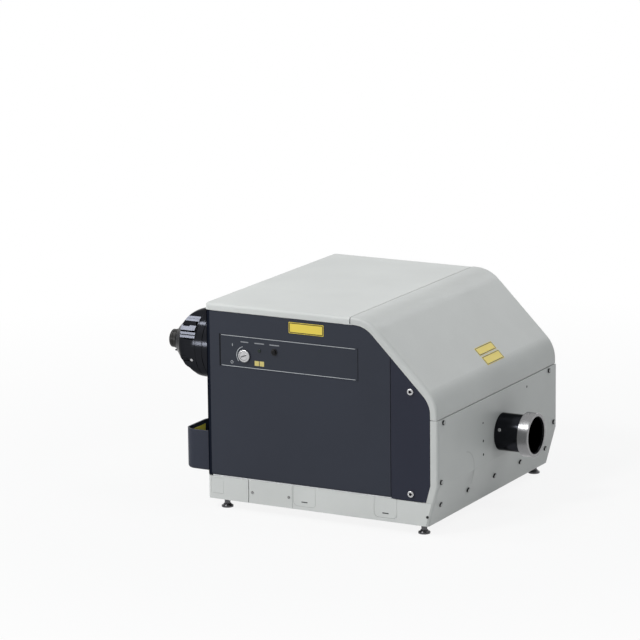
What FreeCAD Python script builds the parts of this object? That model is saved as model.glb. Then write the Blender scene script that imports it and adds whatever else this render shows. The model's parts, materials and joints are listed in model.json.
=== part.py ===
"""Spinning disk confocal scanner unit for a microscope, as an assembly of separate pieces.

Millimetres, +Z up. The housing is drawn with its left side at x = 0, its front at y = 0 and the
underside of its base at z = 0. On export everything moves to the row frame, whose origin lies
under the middle of the whole unit, on the bench.
"""
import FreeCAD
import Part

import math
import os

V = FreeCAD.Vector
X = V(1, 0, 0)
Y = V(0, 1, 0)
Z = V(0, 0, 1)

# Housing
body_w = 350.8
body_d = 372.0
body_h = 274.0
slope_leg = 102.3
top_bend_r = 50.0
side_bend_r = 45.0
kink_h = body_h * 0.2007
base_inset = 14.8
sheet = 2.0
seam = 1.0
panel_gap = 0.4
frame_w = 10.5
lip_h = 9.6
cover_over = 1.0
side_step = 1.2
bend_r = 4.0
corner_r = 5.0
top_corner_r = 6.5
top_inner_r = 3.0
return_d = 10.0
strip_h = 33.0
floor_t = 3.0
top_seam_inset = 128.8
top_seam_x = body_w - top_seam_inset
side_seam_z = body_h * 0.5328
service_w = 69.1
service_seam_x = body_w - service_w
tongue_w = 12.0
tongue_t = 1.5

# Inner chassis
rail_w = 14.0
rail_t = 8.0
rail_h = 10.0
rail_gap = 0.9
left_rail_zs = (floor_t, body_h * 0.438, body_h - 32.0)
right_rail_z = side_seam_z - tongue_w - rail_h - rail_gap
top_rail_inset = 30.0
lug_half = 7.0

# Base front
access_x0 = 64.0
access_x1 = 131.0
cap_w = 33.5
cap_left = 133.3
cap_inset = 94.4
cap_xs = (cap_left, body_w - cap_inset)
cap_z = 5.0
cap_r = 6.0
cap_slot_w = 9.5
cap_slot_h = 1.2
cap_slot_z = 10.5
base_screw_inset = 5.2
base_screw_z = 15.2
blank_x0 = 5.0
blank_x1 = 24.0
blank_z0 = 8.0
blank_z1 = 30.0
fit_gap = 0.3
access_gap = 1.2

# Control panel
plate_x0 = 21.0
plate_x1 = 234.5
plate_low_drop = 86.4
plate_top_drop = 40.8
plate_z0 = body_h - plate_low_drop
plate_z1 = body_h - plate_top_drop
plate_depth = 1.2
plate_t = 1.0
key_x = 60.5
key_drop = 68.5
key_z = body_h - key_drop
key_bezel_r = 8.8
key_plug_r = 6.2
key_barrel_r = 7.5
key_barrel_l = 24.0
key_proud = 3.2
key_slot_l = 9.0
key_slot_w = 1.5
key_slot_tilt = 22.0
lamp_x = 83.3
lamp_drop = 59.7
lamp_z = body_h - lamp_drop
lamp_r = 2.5
lamp_proud = 0.8
button_x = 106.4
button_drop = 59.2
button_z = body_h - button_drop
button_r = 3.2
button_proud = 3.0
switch_r = 4.6
switch_l = 16.0
run_gap = 0.05

# Service cover screws
service_screw_inset = 30.0
service_screws = ((service_seam_x + service_screw_inset, body_h - 92.0),
                  (service_seam_x + service_screw_inset, strip_h + 9.3))
service_head_r = 4.6
service_head_h = 2.6
service_shank_r = 2.5
service_shank_l = 9.0

# Microscope port
port_y = 196.0
port_z = body_h * 0.321
port_tube_r = 26.0
port_bore_r = 24.5
port_tube_l = 49.0
port_ring_r = 30.5
port_ring_l = 15.5
port_ring_x = 36.0
port_flange_r = 30.5
port_flange_t = 8.0
port_throat_r = 18.5
port_seat_x = 4.0

# Camera port
camera_y = 54.0
camera_drop = 68.7
camera_z = body_h - camera_drop
camera_r = 48.0
camera_flange_l = 10.7
camera_collar_l = 10.7
camera_nose_x = 58.0
camera_nose_r = 31.0
camera_face_x = 67.0
camera_face_r = 22.0
camera_bore_r = 10.5
camera_spigot_r = 18.4
camera_spigot_l = 10.0
lens_seat_r = 11.0
camera_reach = 83.0
camera_bend_l = 3.0
notch_line = ((37.0, 11.8), (34.2, 14.6), (34.2, 16.0), (31.5, 18.7), (31.5, 19.6), (25.4, 19.6))
notch_gaps = (1.5, 10.5)
pocket_half = 16.0
pocket_l = 12.0
slot_l = 10.0
slot_w = 1.8
slot_depth = 2.0
slot_shift = 3.4
set_screw_l = 6.7
set_screw_r = 2.0
set_screw_proud = 0.3
stop_pin_r = 1.2
stop_pin_l = 13.0
stop_pin_z = 16.5
mount_ring_r = 13.3
mount_thread_r = 12.7
mount_thread_l = 4.5
mount_spigot_r = 11.6
mount_band_l = 5.0
mount_band_r = 12.6
groove = 0.5

# Fibre inlet box
box_reach = 44.5
box_y0 = 12.0
box_y1 = 82.0
box_wall = 2.0
box_corner_r = 15.0
box_bottom_r = 4.0
fiber_y = 44.0
fiber_drop = 26.0
fiber_z = port_z - fiber_drop
box_drop = 27.7
box_z0 = fiber_z - box_drop
box_z1 = fiber_z + 28.6
fiber_hole_r = 5.2
fiber_barrel_r = 4.9
fiber_nut_r = 8.0
ferrule_r = 1.3
fiber_reach = 12.0

# Feet
foot_h = 13.0
foot_xs = (22.5, body_w - 26.3)
foot_ys = (13.0, body_d - 13.0)
pad_r = 8.2
pad_neck_r = 4.7
pad_h = 5.0
stud_r = 4.0
stud_top = 13.0
stud_socket = 3.0
nut_r = 8.0
nut_h = 5.0
nut_room = 0.8
foot_rise = 3.0

# Optics
deck_z = 22.0
deck_t = 9.0
beam_z = port_z
scan_inset = 99.8
scan_x = body_w - scan_inset
disk_gap = 22.0
disk_r = 55.0
disk_t = 2.0
disk_offset = 30.0
hub_r = 15.0
hub_web_r = 11.0
shaft_r = 4.0
motor_r = 22.0
motor_l = 40.0
bracket_t = 6.0
dichroic_w = 24.0
dichroic_t = 16.0
dichroic_pitch = 24.0
dichroic_cells = 3
dichroic_window_r = 6.0
mirror_size = 40.0
wheel_y = 100.0
wheel_r = 46.0
wheel_t = 8.0
wheel_pitch_r = 34.0
wheel_cells = 6
wheel_angle = 28.0
filter_r = 12.5
relay_r = 17.0
periscope_x = 85.0
shutter_x = 124.0
blade_r = 13.0
blade_arm = 26.0
blade_t = 1.0
blade_pin_r = 1.5
shutter_can_r = 11.0
shutter_can_l = 20.0
deck_inset = 30.0
deck_right = 31.8
deck_post_r = 9.0
deck_post_inset = 30.0
deck_hole_r = 3.0
deck_hole_pitch = 70.0
foot_plate_t = 8.0
thin_foot_t = 6.0
disk_shaft_l = 20.0
disk_clamp_t = 3.0
disk_groove_w = 0.6
disk_groove_t = 1.3
hub_screw_r = 1.2
hub_screw_pitch_r = 13.0
motor_gap = 8.0
motor_boss_r = 9.0
bracket_half = 16.0
bracket_reach = 30.0
bracket_rib_t = 6.0
bracket_top = 28.0
dichroic_plate_t = 1.0
rail_plate_t = 6.0
rail_foot_l = 24.0
slider_motor_r = 6.5
slider_motor_l = 26.0
mirror_bore_r = 9.0
column_t = 9.0
column_foot_l = 26.0
relay_y0 = 122.0
relay_l = 40.0
relay_bore_r = 9.0
relay_stand_w = 16.0
relay_stand_l = 22.0
relay_tube_l = 139.0
relay_flange_t = 4.0
relay_boss_l = 14.0
scan_lens_t = 6.0
camera_lens_t = 7.0
camera_lens_xs = (30.0, 128.0)
wheel_hub_r = 7.0
wheel_shaft_r = 2.5
wheel_shaft_l = 14.0
filter_t = 4.0
filter_lip = 1.5
wheel_motor_half = 14.0
wheel_motor_l = 30.0
collimator_r = 11.0
collimator_l = 58.0
steer_half = 15.0
steer_bore_r = 7.0
shaper_x = 150.0
shaper_l = 45.0
shaper_r = 13.0
shaper_stand_l = 20.0

# Control board
board_x0 = 40.0
board_right = 63.8
board_z0 = body_h * 0.3285
board_top = 49.0
board_t = 1.6
board_off = 6.0
board_post_r = 3.0
board_post_inset = 10.0
chip_w = 18.0
chip_h = 4.4
chip_pitch = 36.0
plug_w = 28.0
plug_h = 10.4
plug_pitch = 54.0
capacitor_r = 5.0
capacitor_h = 12.4

# Fasteners
cap_screw_r = 3.4
cap_screw_h = 2.0
cap_shank_r = 2.0
cap_shank_l = 6.5
small_screw_r = 1.9
small_screw_h = 0.7
small_shank_r = 1.2
small_shank_l = 5.0
shank_room = 0.1
tongue_screw_drop = 5.2
end_screws = (15.5, 24.0)
kink_screw_inset = 8.0
kink_screw_rise = (6.0, 8.0)
low_screw_inset = 21.5
low_screw_back = 20.0
low_screw_z = 26.6
low_screws = 5
left_screw_y = 25.0
left_screw_back = 22.0
camera_side_y = 118.0
flange_screw = (body_w - 15.0, 13.1)
side_hole_r = 1.4
side_holes = ((body_d - 96.2, side_seam_z - 12.7), (136.2, port_z + 25.0), (137.0, port_z - 0.2),
              (137.5, port_z - 19.2))

# Rear connectors
rear_proud = 8.0
socket_x = 70.0
socket_z = 60.0
socket_r = 13.0
signal_x = 120.0
signal_w = 30.0
signal_h = 12.0
signal_ear = 8.0
signal_plate_t = 1.5
socket_flange_t = 3.0
socket_wall = 2.0
socket_depth = 14.0
pin_r = 0.8
pin_pitch_r = 4.0

# Row frame
reach_right = body_w + side_step + port_ring_x + port_ring_l
shift = V((camera_reach - reach_right) / 2, (key_proud - body_d - rear_proud) / 2, foot_h)
nodes = {}


def box(x0, x1, y0, y1, z0, z1):
    return Part.makeBox(x1 - x0, y1 - y0, z1 - z0, V(x0, y0, z0))


def rod(radius, start, axis, length):
    return Part.makeCylinder(radius, length, start, axis)


def pipe(outer, inner, start, axis, length):
    return rod(outer, start, axis, length).cut(rod(inner, start - axis, axis, length + 2))


def fuse(*shapes):
    return shapes[0].fuse(list(shapes[1:])).removeSplitter()


def solids_of(shapes):
    """Separate solids kept together as one group."""
    return Part.makeCompound([s for shape in shapes for s in shape.Solids])


def edges_where(shape, test):
    return [e for e in shape.Edges if all(test(v.Point) for v in e.Vertexes)]


def near(a, b):
    return abs(a - b) < 1e-6


def upright_edges(shape, x):
    """Vertical edges that run the full height of a shape at an x."""
    return [e for e in shape.Edges if near(e.CenterOfMass.x, x)
            and near(e.BoundBox.ZLength, shape.BoundBox.ZLength) and e.BoundBox.YLength < 1e-3]


def rounded_face(corners, y):
    """Face in the plane y through (x, z, radius) corners, with tangent arcs at the corners."""
    points = [V(x, y, z) for x, z, _ in corners]
    ends = []
    edges = []
    for i, point in enumerate(points):
        back = (points[i - 1] - point).normalize()
        ahead = (points[(i + 1) % len(points)] - point).normalize()
        radius = corners[i][2]
        if radius <= 0:
            ends.append((point, point))
            continue
        half = back.getAngle(ahead) / 2
        start = point + back * (radius / math.tan(half))
        end = point + ahead * (radius / math.tan(half))
        middle = point + (back + ahead).normalize() * (radius / math.sin(half) - radius)
        edges.append(Part.Arc(start, middle, end).toShape())
        ends.append((start, end))
    for i in range(len(ends)):
        a = ends[i - 1][1]
        b = ends[i][0]
        edges.append(Part.LineSegment(a, b).toShape())
    return Part.Face(Part.Wire(Part.__sortEdges__(edges)))


def slab(corners, y0, y1):
    return rounded_face(corners, y0).extrude(V(0, y1 - y0, 0))


def outline(inset, top=None, left=None, floor=0.0, left_r=0.0):
    """Corners of the housing's front profile, moved inwards by inset."""
    top = inset if top is None else top
    left = inset if left is None else left
    lean = math.atan2(base_inset, kink_h)
    slope_sum = body_w + body_h - slope_leg - inset * math.sqrt(2)
    top_z = body_h - top
    right_x = body_w - inset
    kink_z = kink_h + inset * math.tan(lean / 2)
    floor_x = right_x - (kink_z - floor) * math.tan(lean)
    return [
        (left, floor, left_r),
        (left, top_z, 0),
        (slope_sum - top_z, top_z, top_bend_r - inset),
        (right_x, slope_sum - right_x, side_bend_r - inset),
        (right_x, kink_z, 0),
        (floor_x, floor, 0),
    ]


def below(z, x0=-10.0):
    return box(x0, body_w + 10, -10, body_d + 10, -20, z)


def screw(at, axis, head_r, head_h, shank_r, shank_l):
    """Cap screw: its head stands on the surface at the point and its shank goes in behind it."""
    head = rod(head_r, at, axis, head_h)
    rim = [e for e in head.Edges if e.isClosed() and (e.CenterOfMass - at).dot(axis) > head_h / 2]
    head = head.makeFillet(head_h * 0.35, rim)
    shank = rod(shank_r, at - axis * shank_l, axis, shank_l + 0.2)
    socket = hexagon(head_r * 0.5, at + axis * (head_h * 0.35), axis, head_h)
    return head.fuse(shank).cut(socket)


def hexagon(radius, start, axis, length):
    side = axis.cross(Z) if abs(axis.dot(Z)) < 0.9 else X
    side = side.normalize()
    other = axis.cross(side)
    ring = [start + side * (radius * math.cos(math.radians(60 * i)))
            + other * (radius * math.sin(math.radians(60 * i))) for i in range(7)]
    return Part.Face(Part.makePolygon(ring)).extrude(axis * length)


# Housing shells

def shell(outer, region):
    """Bent sheet cover with its flanges at the front and the rear, cut to a region."""
    block = slab(outline(outer), 0, body_d)
    front = edges_where(block, lambda p: near(p.y, 0) and p.x > 5 and p.z > -1)
    block = block.makeFillet(bend_r, [e for e in front if e.CenterOfMass.z > 1])
    block = block.cut(slab(outline(sheet, floor=-10), sheet, body_d - sheet))
    block = block.cut(slab(outline(frame_w, top=lip_h, floor=-10), -1, body_d + 1))
    return block.common(region)


def make_top_cover():
    cover = box(-cover_over, top_seam_x - seam / 2, -cover_over, body_d + cover_over,
                body_h - lip_h, body_h)
    cover = cover.makeFillet(top_corner_r, upright_edges(cover, -cover_over))
    rim = edges_where(cover, lambda p: near(p.z, body_h))
    cover = cover.makeFillet(bend_r, [e for e in rim if e.CenterOfMass.x < top_seam_x - seam])
    inner = box(sheet - cover_over, top_seam_x, sheet - cover_over, body_d + cover_over - sheet,
                body_h - lip_h - 1, body_h - sheet)
    inner = inner.makeFillet(top_inner_r, upright_edges(inner, sheet - cover_over))
    return cover.cut(inner)


def make_slope_cover():
    region = box(top_seam_x + seam / 2, body_w + 5, -5, body_d + 5, side_seam_z + seam / 2, body_h + 5)
    cover = shell(0, region)
    inset = rail_t + sheet + panel_gap
    top_tongue = box(top_seam_x - tongue_w, top_seam_x + seam / 2 + sheet, inset, body_d - inset,
                     body_h - sheet - tongue_t, body_h - sheet)
    side_tongue = box(body_w - sheet - tongue_t, body_w - sheet, inset, body_d - inset,
                      side_seam_z - tongue_w, side_seam_z + seam / 2 + sheet)
    return fuse(cover, top_tongue, side_tongue).cut(solids_of(side_screw_shanks(shank_room)))


def make_side_panel():
    region = box(service_seam_x, body_w + 5, -5, body_d + 5, -1, side_seam_z - seam / 2)
    panel = shell(-side_step, region)
    panel = panel.cut(rod(port_tube_r + run_gap, V(body_w - 10, port_y, port_z), X, 30))
    for y, z in side_holes:
        panel = panel.cut(rod(side_hole_r, V(body_w - 10, y, z), X, 30))
    foot = slab(outline(sheet, floor=-10), -1, sheet).common(below(strip_h - seam + fit_gap))
    panel = panel.cut(foot)
    return panel.cut(solids_of(side_screw_shanks(shank_room)))


def make_left_panel():
    panel = box(0, sheet, return_d + seam, body_d - sheet - panel_gap, 0, body_h - lip_h - seam)
    flange = box(0, frame_w, body_d - sheet, body_d, 0, body_h - lip_h - seam)
    flange = flange.fuse(box(0, sheet, body_d - sheet - 1, body_d, 0, body_h - lip_h - seam))
    panel = fuse(panel, flange)
    panel = panel.cut(rod(camera_spigot_r + run_gap, V(-5, camera_y, camera_z), X, 20))
    panel = panel.cut(rod(fiber_hole_r, V(-5, fiber_y, fiber_z), X, 20))
    return panel.cut(solids_of(left_screw_shanks(shank_room)))


def make_back_panel():
    lid = slab(outline(frame_w + panel_gap, top=lip_h + seam, floor=floor_t), body_d - sheet, body_d)
    lid = lid.cut(rod(socket_r - 2, V(socket_x, body_d - 10, socket_z), Y, 20))
    half = signal_w / 2 - 1
    return lid.cut(box(signal_x - half, signal_x + half, body_d - 10, body_d + 10,
                       socket_z - signal_h / 2 + 1, socket_z + signal_h / 2 - 1))


def make_base_pan():
    pan = slab(outline(sheet), sheet, body_d - sheet).common(below(floor_t))
    strip = slab(outline(sheet + fit_gap, left=0), 0, sheet).common(below(strip_h - seam))
    strip = strip.fuse(box(0, sheet, 0, return_d, 0, strip_h - seam))
    strip = strip.removeSplitter()
    corner = [e for e in upright_edges(strip, 0) if near(e.CenterOfMass.y, 0)]
    strip = strip.makeFillet(corner_r - 1, corner)
    strip = strip.cut(box(access_x0 - access_gap, access_x1 + fit_gap, -1, sheet + 1, -1, strip_h))
    strip = strip.cut(rod(small_shank_r + shank_room, V(flange_screw[0], -5, flange_screw[1]), Y, 10))
    for x in cap_xs:
        strip = strip.cut(cap_blank(x, fit_gap))
    strip = strip.cut(box(blank_x0, blank_x1, -1, sheet + 1, blank_z0, blank_z1))
    pan = pan.fuse(strip.Solids)
    for x in foot_xs:
        for y in foot_ys:
            pan = pan.fuse(hexagon(nut_r, V(x, y, floor_t), Z, nut_h))
            pan = pan.cut(rod(stud_r + run_gap, V(x, y, -1), Z, floor_t + nut_h + 2))
    return pan.removeSplitter()


def cap_blank(x, gap):
    """U-shaped blank of a transport cap, open towards the dark panels."""
    low = cap_z - gap
    corners = [(x - gap, low, cap_r), (x - gap, strip_h, 0), (x + cap_w + gap, strip_h, 0),
               (x + cap_w + gap, low, cap_r)]
    return slab(corners, -0.01 if gap else 0, sheet + (0.01 if gap else 0))


def make_transport_caps():
    caps = []
    for x in cap_xs:
        cap = cap_blank(x, 0).common(below(strip_h - seam))
        middle = x + cap_w / 2
        caps.append(cap.cut(box(middle - cap_slot_w / 2, middle + cap_slot_w / 2, -1, sheet + 1,
                                cap_slot_z, cap_slot_z + cap_slot_h)))
    return solids_of(caps)


def make_chassis():
    """Front and rear rings inside the covers, joined by rails, with the bars that carry the screws."""
    hoop = outline(sheet, floor=floor_t)
    hole = outline(sheet + rail_w, floor=floor_t + rail_w)
    front_hoop = outline(sheet, left=sheet + corner_r, floor=floor_t)
    front = slab(front_hoop, sheet, sheet + rail_t).cut(slab(hole, 0, 20))
    rear = slab(hoop, body_d - sheet - rail_t, body_d - sheet).cut(slab(hole, body_d - 20, body_d))
    inside = slab(front_hoop, sheet, sheet + rail_t)
    bars = [box(service_seam_x - 6, service_seam_x + 6, sheet, sheet + rail_t, floor_t, body_h)]
    for x, z in service_screws:
        bars.append(box(service_seam_x, body_w, sheet, sheet + rail_t, z - lug_half, z + lug_half))
    bars.append(box(sheet, service_seam_x, sheet, sheet + rail_t, strip_h - lug_half, strip_h + lug_half))
    bars = [bar.common(inside) for bar in bars]
    span = (sheet + rail_t, body_d - sheet - rail_t)
    rails = [box(sheet, sheet + rail_t, sheet + rail_t + 1, span[1], z, z + rail_h) for z in left_rail_zs]
    joins = [box(sheet, sheet + rail_w, sheet + rail_t - 1, sheet + rail_t + 8, z, z + rail_h)
             .common(box(sheet + corner_r, body_w, 0, body_d, 0, body_h)) for z in left_rail_zs]
    links = [box(sheet, sheet + rail_w, sheet + rail_t + 1, sheet + rail_t + 8, z, z + rail_h)
             for z in left_rail_zs]
    rails.append(box(body_w - sheet - rail_t, body_w - sheet, *span, right_rail_z, right_rail_z + rail_h))
    rails.append(box(top_seam_x - top_rail_inset, top_seam_x - top_rail_inset + rail_h, *span,
                     body_h - sheet - rail_h, body_h - sheet))
    chassis = fuse(front, rear, *bars, *rails, *joins, *links)
    for x, z in service_screws:
        chassis = chassis.cut(rod(service_shank_r + 0.3, V(x, 0, z), Y, 20))
    small = [rod(small_shank_r + shank_room, at, Y, rail_t + 4) for at in base_screw_places()]
    rooms = []
    for x in foot_xs:
        for y in foot_ys:
            rooms.append(rod(nut_r + nut_room, V(x, y, 0), Z, floor_t + nut_h + nut_room))
            rooms.append(rod(stud_r + nut_room, V(x, y, 0), Z, stud_top + foot_rise + nut_room))
    shanks = side_screw_shanks(shank_room) + left_screw_shanks(shank_room)
    return chassis.cut(solids_of(shanks + small)).cut(fuse(*rooms))


# Dark front covers

def make_front_cover():
    corners = outline(frame_w + panel_gap, top=lip_h + seam, left=0, floor=strip_h, left_r=corner_r)
    cover = slab(corners, 0, return_d)
    left = edges_where(cover, lambda p: near(p.y, 0) and p.x < corner_r + 0.01)
    cover = cover.makeFillet(corner_r - 1, [e for e in left if e.CenterOfMass.x < corner_r])
    inner = box(sheet, body_w, sheet, return_d + 1, strip_h - 1, body_h)
    cover = cover.cut(inner.makeFillet(corner_r - 1 - sheet, edges_where(
        inner, lambda p: near(p.x, sheet) and near(p.y, sheet))))
    cover = cover.common(box(-5, service_seam_x - seam / 2, -5, 20, 0, body_h))
    cover = cover.cut(box(plate_x0, plate_x1, -1, plate_depth, plate_z0, plate_z1))
    for x, z, r in ((key_x, key_z, key_barrel_r), (lamp_x, lamp_z, lamp_r + 1),
                    (button_x, button_z, switch_r - 1)):
        cover = cover.cut(rod(r, V(x, -1, z), Y, 5))
    return cover


def make_service_cover():
    cover = slab(outline(frame_w + panel_gap, top=lip_h + seam, floor=strip_h), 0, sheet)
    cover = cover.common(box(service_seam_x + seam / 2, body_w, -5, 20, 0, body_h))
    for x, z in service_screws:
        cover = cover.cut(rod(service_shank_r, V(x, -1, z), Y, 5))
    return cover


def make_service_screws():
    screws = []
    for x, z in service_screws:
        at = V(x, 0, z)
        head = rod(service_head_r, at, -Y, service_head_h)
        rim = [e for e in head.Edges if e.isClosed() and e.CenterOfMass.y < -service_head_h + 0.01]
        head = head.makeFillet(1.0, rim)
        slot = box(x - service_head_r, x + service_head_r, -service_head_h - 1, -service_head_h + 1,
                   z - 0.6, z + 0.6)
        shank = rod(service_shank_r, at, Y, service_shank_l)
        screws.append(head.cut(slot).fuse(shank))
    return solids_of(screws)


# Control panel

def make_control_plate():
    gap = 0.15
    plate = box(plate_x0 + gap, plate_x1 - gap, plate_depth - plate_t, plate_depth,
                plate_z0 + gap, plate_z1 - gap)
    for x, z, r in ((key_x, key_z, key_barrel_r), (lamp_x, lamp_z, lamp_r),
                    (button_x, button_z, switch_r - 1)):
        plate = plate.cut(rod(r, V(x, -1, z), Y, 5))
    return plate


def make_key_switch():
    face = plate_depth - plate_t
    bezel = rod(key_bezel_r, V(key_x, face, key_z), -Y, key_proud + face)
    rim = [e for e in bezel.Edges if e.isClosed() and e.CenterOfMass.y < -key_proud + 0.01]
    bezel = bezel.makeFillet(1.2, rim)
    barrel = rod(key_barrel_r, V(key_x, face, key_z), Y, key_barrel_l)
    well = rod(key_plug_r + run_gap, V(key_x, -key_proud - 1, key_z), Y, key_proud + 1 + key_barrel_l - 4)
    return bezel.fuse(barrel).cut(well)


def make_key_plug():
    length = key_proud + key_barrel_l - 6
    plug = rod(key_plug_r, V(key_x, -key_proud + 0.3, key_z), Y, length)
    rim = [e for e in plug.Edges if e.isClosed() and e.CenterOfMass.y < -key_proud + 0.31]
    plug = plug.makeFillet(0.5, rim)
    slot = box(key_x - key_slot_l / 2, key_x + key_slot_l / 2, -key_proud, 5,
               key_z - key_slot_w / 2, key_z + key_slot_w / 2)
    slot.rotate(V(key_x, 0, key_z), Y, -key_slot_tilt)
    return plug.cut(slot)


def make_emission_lamp():
    face = plate_depth - plate_t
    lens = rod(lamp_r, V(lamp_x, -lamp_proud, lamp_z), Y, lamp_proud + sheet)
    rim = [e for e in lens.Edges if e.isClosed() and e.CenterOfMass.y < -lamp_proud + 0.01]
    lens = lens.makeFillet(0.6, rim)
    return lens.fuse(rod(lamp_r + 1, V(lamp_x, plate_depth, lamp_z), Y, 8 + face))


def make_button_switch():
    face = plate_depth - plate_t
    flange = rod(switch_r, V(button_x, face - 1, button_z), Y, 1)
    body = rod(switch_r - 1, V(button_x, face, button_z), Y, switch_l)
    well = rod(button_r + run_gap, V(button_x, -5, button_z), Y, 5 + switch_l - 3)
    return flange.fuse(body).cut(well)


def make_shutter_button():
    button = rod(button_r, V(button_x, -button_proud, button_z), Y, button_proud + switch_l - 6)
    rim = [e for e in button.Edges if e.isClosed() and e.CenterOfMass.y < -button_proud + 0.01]
    return button.makeFillet(0.6, rim)


# Microscope port

def make_port_tube():
    wall = body_w + side_step
    inner = body_w - sheet
    tube = rod(port_tube_r, V(inner, port_y, port_z), X, wall - inner + port_tube_l)
    flange = rod(port_flange_r, V(inner - port_flange_t, port_y, port_z), X, port_flange_t)
    flange = flange.common(slab(outline(sheet), 0, body_d))
    bore = rod(port_bore_r, V(wall + port_seat_x, port_y, port_z), X, port_tube_l)
    throat = rod(port_throat_r, V(inner - port_flange_t - 1, port_y, port_z), X, port_tube_l)
    return fuse(tube, flange).cut(bore).cut(throat)


def make_port_ring():
    start = body_w + side_step + port_ring_x
    ring = pipe(port_ring_r, port_tube_r, V(start, port_y, port_z), X, port_ring_l)
    rims = [e for e in ring.Edges if e.isClosed() and near(e.BoundBox.ZLength, 2 * port_ring_r)]
    return ring.makeChamfer(0.6, rims)


# Camera port

def on_camera_axis(profile):
    """Turned piece about the camera port's axis; the profile is (reach to the left, radius) points."""
    points = [V(-reach, camera_y, camera_z + radius) for reach, radius in profile]
    face = Part.Face(Part.makePolygon(points + points[:1]))
    return face.revolve(V(0, camera_y, camera_z), X, 360)


def make_camera_flange():
    body = on_camera_axis([
        (0, camera_bore_r), (0, camera_r), (camera_flange_l - groove, camera_r),
        (camera_flange_l, camera_r - groove), (camera_flange_l, camera_bore_r)])
    spigot = pipe(camera_spigot_r, camera_bore_r, V(0, camera_y, camera_z), X, camera_spigot_l)
    return body.fuse(spigot)


def make_camera_collar():
    start = camera_flange_l
    end = start + camera_collar_l
    collar = on_camera_axis([
        (start, camera_bore_r), (start, camera_r - groove), (start + groove, camera_r),
        (end - groove, camera_r), (end, camera_r - groove), (end, camera_bore_r)])
    return collar


def make_camera_head():
    """Bullet-shaped head whose four stepped corner notches leave ribs at its top, front, bottom and rear."""
    start = camera_flange_l + camera_collar_l
    bend = start + camera_bend_l
    run = camera_nose_x - bend
    drop = camera_r - camera_nose_r
    ogive_r = (run * run + drop * drop) / (2 * drop)
    half = math.atan2(run, ogive_r - drop) / 2
    points = [(start, camera_bore_r), (start, camera_r - groove), (start + groove, camera_r),
              (bend, camera_r)]
    middle = (bend + ogive_r * math.sin(half), camera_r - ogive_r + ogive_r * math.cos(half))
    rest = [(camera_nose_x, camera_nose_r), (camera_face_x, camera_face_r), (camera_face_x, camera_bore_r)]

    def at(pair):
        return V(-pair[0], camera_y, camera_z + pair[1])

    edges = [Part.LineSegment(at(a), at(b)).toShape() for a, b in zip(points, points[1:])]
    edges.append(Part.Arc(at(points[-1]), at(middle), at(rest[0])).toShape())
    loop = rest + points[:1]
    edges += [Part.LineSegment(at(a), at(b)).toShape() for a, b in zip(loop, loop[1:])]
    head = Part.Face(Part.Wire(edges)).revolve(V(0, camera_y, camera_z), X, 360)
    for side_z, gap in zip((1, -1), notch_gaps):
        for side_y in (-1, 1):
            head = head.cut(corner_notch(side_y, side_z, start + gap))
    pin = rod(stop_pin_r, V(-camera_face_x + 3, camera_y, camera_z - stop_pin_z), -X, stop_pin_l + 3)
    return head.cut(make_camera_screws()).fuse(pin)


def corner_notch(side_y, side_z, end):
    """Cut at one corner of the head: stepped sides, a flat across the corner with a slot, and a pocket."""
    far = camera_r + 5
    line = [(far, notch_line[0][1])] + list(notch_line)
    line += [(b, a) for a, b in reversed(line)] + [(far, far)]

    def block(pairs, x0, x1):
        ring = [V(x0, camera_y + side_y * a, camera_z + side_z * b) for a, b in pairs]
        return Part.Face(Part.makePolygon(ring + ring[:1])).extrude(X * (x1 - x0))

    cut = block(line, -camera_face_x - 1, -end)
    low = pocket_half
    pocket = block([(low, low), (far, low), (far, far), (low, far)], -end - pocket_l, -end)
    pocket = pocket.common(block([(0, 0), (notch_line[-2][0], 0), (notch_line[-2][0], notch_line[-2][0]),
                                  (0, notch_line[-2][0])], -end - pocket_l, -end))
    wide = notch_line[-1]
    middle = V(0, (wide[0] + wide[1]) / 2, (wide[0] + wide[1]) / 2) + V(0, -1, 1).normalize() * slot_shift
    along = V(0, -1, 1).normalize() * (slot_w / 2)
    deep = V(0, 1, 1).normalize() * slot_depth
    pairs = [middle - along - deep, middle + along - deep, middle + along + deep, middle - along + deep]
    x1 = -end - pocket_l - slot_l
    slot = block([(p.y, p.z) for p in pairs], x1 - slot_l, x1)
    return cut.fuse(pocket).fuse(slot)


def make_mount_ring():
    """Adapter ring with two grip bands and the camera's thread, held by its spigot in the head's bore."""
    end = camera_reach
    thread = end - mount_thread_l
    band = camera_face_x + mount_band_l
    return on_camera_axis([
        (camera_face_x - 8, camera_bore_r - 2), (camera_face_x - 8, camera_bore_r - run_gap),
        (camera_face_x, camera_bore_r - run_gap), (camera_face_x, mount_ring_r - 1),
        (camera_face_x + 1, mount_ring_r), (band, mount_ring_r), (band, mount_band_r),
        (band + 1, mount_band_r), (band + 1, mount_ring_r), (thread - 1, mount_ring_r),
        (thread - 0.5, mount_spigot_r), (thread, mount_spigot_r), (thread, mount_thread_r),
        (end - 0.5, mount_thread_r), (end, mount_thread_r - 0.5), (end, camera_bore_r - 2)])


def make_camera_screws():
    """Silver set screws round the head, behind its notches."""
    pins = []
    for angle in (-110, 10, 130):
        turn = math.radians(angle)
        out = V(0, math.sin(turn), math.cos(turn))
        at = V(-camera_flange_l - camera_collar_l - set_screw_l, camera_y, camera_z) + out * (camera_r - 4)
        pins.append(rod(set_screw_r, at, out, 4 + set_screw_proud))
    return solids_of(pins)


# Fibre inlet

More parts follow.
